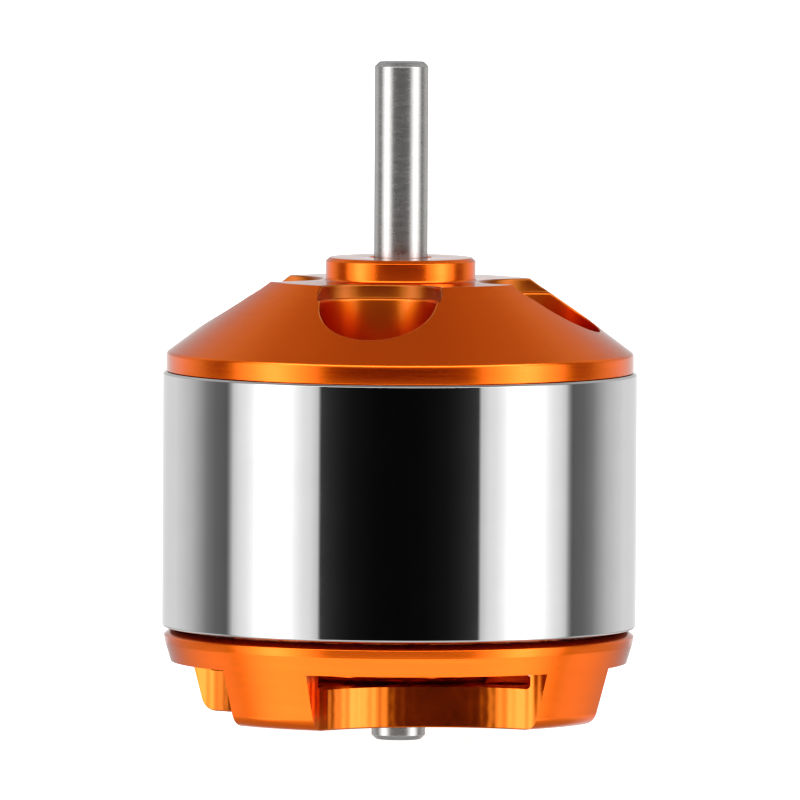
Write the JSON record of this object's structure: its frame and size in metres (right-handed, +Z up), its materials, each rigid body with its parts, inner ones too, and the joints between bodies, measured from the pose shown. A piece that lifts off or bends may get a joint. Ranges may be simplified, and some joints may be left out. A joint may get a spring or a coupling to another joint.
{
  "type": "brushless outrunner motor",
  "caption": "Brushless outrunner motor: polished can and orange conical bell with air holes turn with a plain steel shaft around a wound stator on a scalloped, footed orange base.",
  "frame": {"origin": "centre of the base's lower face, the plane that is screwed to a mount; the shaft's short stub reaches below it", "axes": "+Z runs up the shaft towards the propeller end; +X and +Y run through the middles of two neighbouring feet, the two close-spaced screw holes lying on X and the two wide-spaced ones on Y"},
  "size_m": [0.028, 0.028, 0.04],
  "materials": {
    "orange_anodised": "satin anodised, fine turning lines",
    "polished_steel": "mirror polished",
    "ground_steel": "centreless ground, satin",
    "bearing_steel": "polished",
    "spring_steel": "dull, oiled",
    "nickel_plate": "nickel plated, semi-gloss",
    "core_steel": "stacked laminations under thin varnish",
    "copper_wire": "enamelled copper, gloss",
    "insulation": "matte"
  },
  "bodies": {
    "stator": {"base_mount": "orange_anodised", "stator_core": "core_steel", "upper_insulator": "insulation", "lower_insulator": "insulation", "coil_01": "copper_wire", "coil_02": "copper_wire", "coil_03": "copper_wire", "coil_04": "copper_wire", "coil_05": "copper_wire", "coil_06": "copper_wire", "coil_07": "copper_wire", "coil_08": "copper_wire", "coil_09": "copper_wire", "coil_10": "copper_wire", "coil_11": "copper_wire", "coil_12": "copper_wire", "front_bearing_outer_ring": "bearing_steel", "front_bearing_upper_shield": "spring_steel", "front_bearing_lower_shield": "spring_steel", "rear_bearing_outer_ring": "bearing_steel", "rear_bearing_upper_shield": "spring_steel", "rear_bearing_lower_shield": "spring_steel"},
    "rotor": {"shaft": "ground_steel", "bell": "orange_anodised", "flux_ring": "polished_steel", "magnet_01": "nickel_plate", "magnet_02": "nickel_plate", "magnet_03": "nickel_plate", "magnet_04": "nickel_plate", "magnet_05": "nickel_plate", "magnet_06": "nickel_plate", "magnet_07": "nickel_plate", "magnet_08": "nickel_plate", "magnet_09": "nickel_plate", "magnet_10": "nickel_plate", "magnet_11": "nickel_plate", "magnet_12": "nickel_plate", "magnet_13": "nickel_plate", "magnet_14": "nickel_plate", "hub_spacer": "spring_steel", "rear_washer": "spring_steel", "retaining_clip": "spring_steel", "front_bearing_inner_ring": "bearing_steel", "rear_bearing_inner_ring": "bearing_steel"},
    "front_balls": {"front_bearing_balls": "bearing_steel"},
    "rear_balls": {"rear_bearing_balls": "bearing_steel"}
  },
  "joints": [
    {"name": "rotor_spin", "type": "hinge", "parent": "stator", "child": "rotor", "pos_m": [0, 0, 0], "axis": [0, 0, 1], "continuous": true},
    {"name": "front_balls_orbit", "type": "hinge", "parent": "stator", "child": "front_balls", "pos_m": [0, 0, 0.0189], "axis": [0, 0, 1], "continuous": true},
    {"name": "rear_balls_orbit", "type": "hinge", "parent": "stator", "child": "rear_balls", "pos_m": [0, 0, 0.00245], "axis": [0, 0, 1], "continuous": true}
  ],
  "couplings": [
    {"joint": "front_balls_orbit", "follows": "rotor_spin", "ratio": 0.4},
    {"joint": "rear_balls_orbit", "follows": "rotor_spin", "ratio": 0.4}
  ]
}
